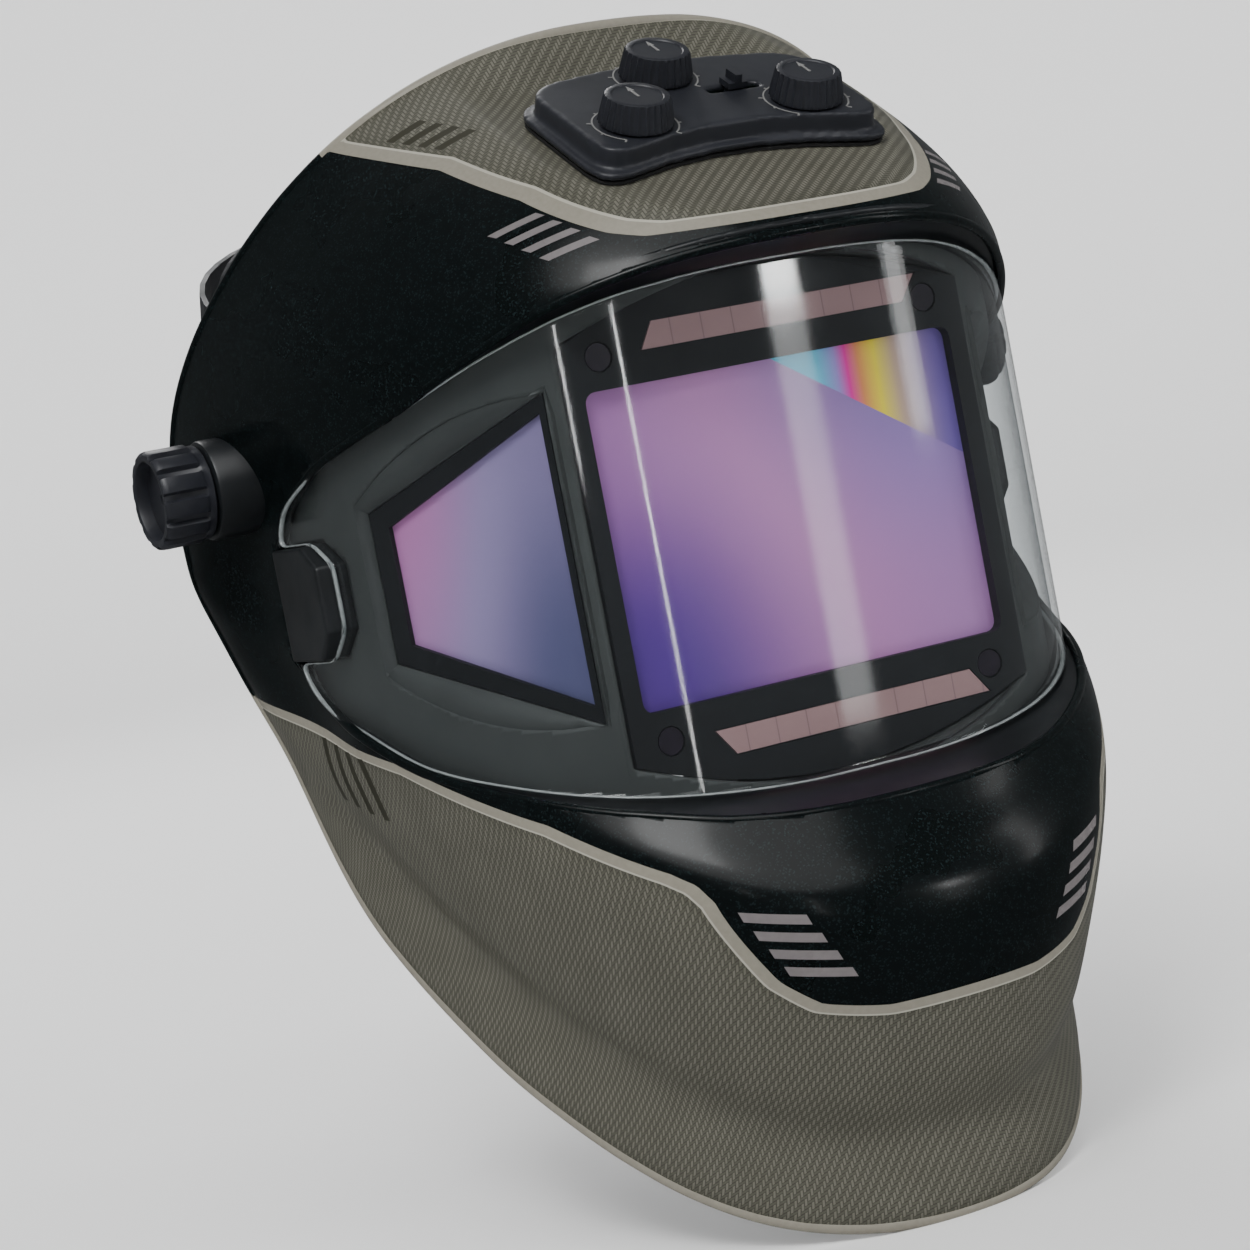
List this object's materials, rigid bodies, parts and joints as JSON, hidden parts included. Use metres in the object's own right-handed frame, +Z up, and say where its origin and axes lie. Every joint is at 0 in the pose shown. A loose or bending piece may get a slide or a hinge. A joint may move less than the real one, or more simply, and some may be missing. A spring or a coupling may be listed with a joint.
{
  "type": "welding helmet",
  "caption": "Hood-style auto-darkening welding helmet with a wrap-around view window, side filters, a control pod, and ratchet headgear.",
  "frame": {"origin": "midpoint of the tilt axis, halfway between the two side pivots", "axes": "+Z up, -Y out of the front window, +X towards the wearer's left"},
  "size_m": [0.273, 0.3213, 0.3223],
  "materials": {
    "shell_gloss": "gloss black nylon with a fine pearl fleck and printed carbon-look panels",
    "frame_plastic": "satin dark grey moulded nylon",
    "satin_plastic": "fine-grained charcoal plastic",
    "pod_plastic": "satin charcoal-blue plastic",
    "strap_plastic": "soft-sheen flexible black plastic",
    "clear_lens": "clear hard-coated polycarbonate",
    "filter_glass": "violet interference-coated filter glass",
    "solar_film": "dark reddish-brown amorphous solar cell",
    "circuit_board": "green solder mask",
    "black_rubber": "matt black rubber",
    "bright_steel": "plated steel",
    "pad_foam": "dark grey brushed terry cloth over foam"
  },
  "bodies": {
    "headgear": {"headband": "strap_plastic", "sweatband": "pad_foam", "crown_strap_right": "strap_plastic", "crown_strap_left": "strap_plastic", "crown_pin": "satin_plastic", "rear_hoop": "strap_plastic", "side_arm_right": "strap_plastic", "side_arm_left": "strap_plastic", "toothed_strap_right": "strap_plastic", "toothed_strap_left": "strap_plastic"},
    "carriage": {"slider_right": "satin_plastic", "slider_left": "satin_plastic", "pivot_stud_right": "bright_steel", "pivot_stud_left": "bright_steel", "tilt_stop_right": "strap_plastic", "tilt_stop_left": "strap_plastic", "friction_washer_right": "black_rubber", "friction_washer_left": "black_rubber"},
    "rear_cradle": {"ratchet_cover": "strap_plastic", "ratchet_housing": "strap_plastic", "rear_pad": "pad_foam"},
    "ratchet_dial": {"ratchet_knob": "satin_plastic", "ratchet_pinion": "bright_steel"},
    "tension_dial_right": {"tension_knob_right": "pod_plastic"},
    "tension_dial_left": {"tension_knob_left": "pod_plastic"},
    "latch_right": {"lens_latch_right": "satin_plastic"},
    "latch_left": {"lens_latch_left": "satin_plastic"},
    "battery_drawer": {"battery_tray": "satin_plastic", "coin_cell_right": "bright_steel", "coin_cell_left": "bright_steel"},
    "shade_dial": {"shade_knob": "pod_plastic"},
    "delay_dial": {"delay_knob": "pod_plastic"},
    "sensitivity_dial": {"sensitivity_knob": "pod_plastic"},
    "mode_slide": {"mode_switch": "satin_plastic"},
    "shell": {"outer_shell": "shell_gloss", "lens_frame": "frame_plastic", "main_filter_housing": "satin_plastic", "filter_rear_cover": "satin_plastic", "side_filter_housing_right": "satin_plastic", "side_filter_housing_left": "satin_plastic", "arc_sensor_1": "satin_plastic", "arc_sensor_2": "satin_plastic", "arc_sensor_3": "satin_plastic", "arc_sensor_4": "satin_plastic", "pod_housing": "pod_plastic", "cover_lens": "clear_lens", "inner_cover_lens": "clear_lens", "main_filter_glass": "filter_glass", "side_filter_glass_right": "filter_glass", "side_filter_glass_left": "filter_glass", "solar_cell_top": "solar_film", "solar_cell_bottom": "solar_film", "filter_circuit_board": "circuit_board", "pod_circuit_board": "circuit_board", "pod_gasket": "black_rubber", "pod_screw_right": "bright_steel", "pod_screw_left": "bright_steel"}
  },
  "joints": [
    {"name": "fore_aft", "type": "slide", "parent": "headgear", "child": "carriage", "axis": [0, 1, 0], "range_m": [-0.01, 0.01]},
    {"name": "shell_tilt", "type": "hinge", "parent": "carriage", "child": "shell", "pos_m": [0, 0, 0], "axis": [-1, 0, 0], "range_deg": [0, 60]},
    {"name": "tension_right", "type": "hinge", "parent": "carriage", "child": "tension_dial_right", "pos_m": [-0.129, 0, 0], "axis": [-1, 0, 0], "range_deg": [-180, 180]},
    {"name": "tension_left", "type": "hinge", "parent": "carriage", "child": "tension_dial_left", "pos_m": [0.129, 0, 0], "axis": [1, 0, 0], "range_deg": [-180, 180]},
    {"name": "latch_press_right", "type": "slide", "parent": "shell", "child": "latch_right", "axis": [1, 0, 0], "range_m": [0, 0.0025], "stiffness_N_per_m": 1200},
    {"name": "latch_press_left", "type": "slide", "parent": "shell", "child": "latch_left", "axis": [-1, 0, 0], "range_m": [0, 0.0025], "stiffness_N_per_m": 1200},
    {"name": "battery_slide", "type": "slide", "parent": "shell", "child": "battery_drawer", "axis": [0, 1, 0], "range_m": [0, 0.024]},
    {"name": "shade_turn", "type": "hinge", "parent": "shell", "child": "shade_dial", "pos_m": [-0.0255, -0.10896, 0.07208], "axis": [0, -0.5, 0.866], "range_deg": [-140, 140]},
    {"name": "delay_turn", "type": "hinge", "parent": "shell", "child": "delay_dial", "pos_m": [-0.005, -0.08601, 0.08533], "axis": [0, -0.5, 0.866], "range_deg": [-140, 140]},
    {"name": "sensitivity_turn", "type": "hinge", "parent": "shell", "child": "sensitivity_dial", "pos_m": [0.0255, -0.10896, 0.07208], "axis": [0, -0.5, 0.866], "range_deg": [-140, 140]},
    {"name": "mode_shift", "type": "slide", "parent": "shell", "child": "mode_slide", "axis": [1, 0, 0], "range_m": [-0.0045, 0.0045]},
    {"name": "cradle_slide", "type": "slide", "parent": "headgear", "child": "rear_cradle", "axis": [0, -1, 0], "range_m": [0, 0.0096], "deforming": ["toothed_strap_right", "toothed_strap_left"]},
    {"name": "ratchet_turn", "type": "hinge", "parent": "rear_cradle", "child": "ratchet_dial", "pos_m": [0, 0.155, -0.012], "axis": [0, 1, 0], "range_deg": [0, 190]}
  ],
  "couplings": [
    {"joint": "ratchet_turn", "follows": "cradle_slide", "rad_per_m": 344.8}
  ]
}
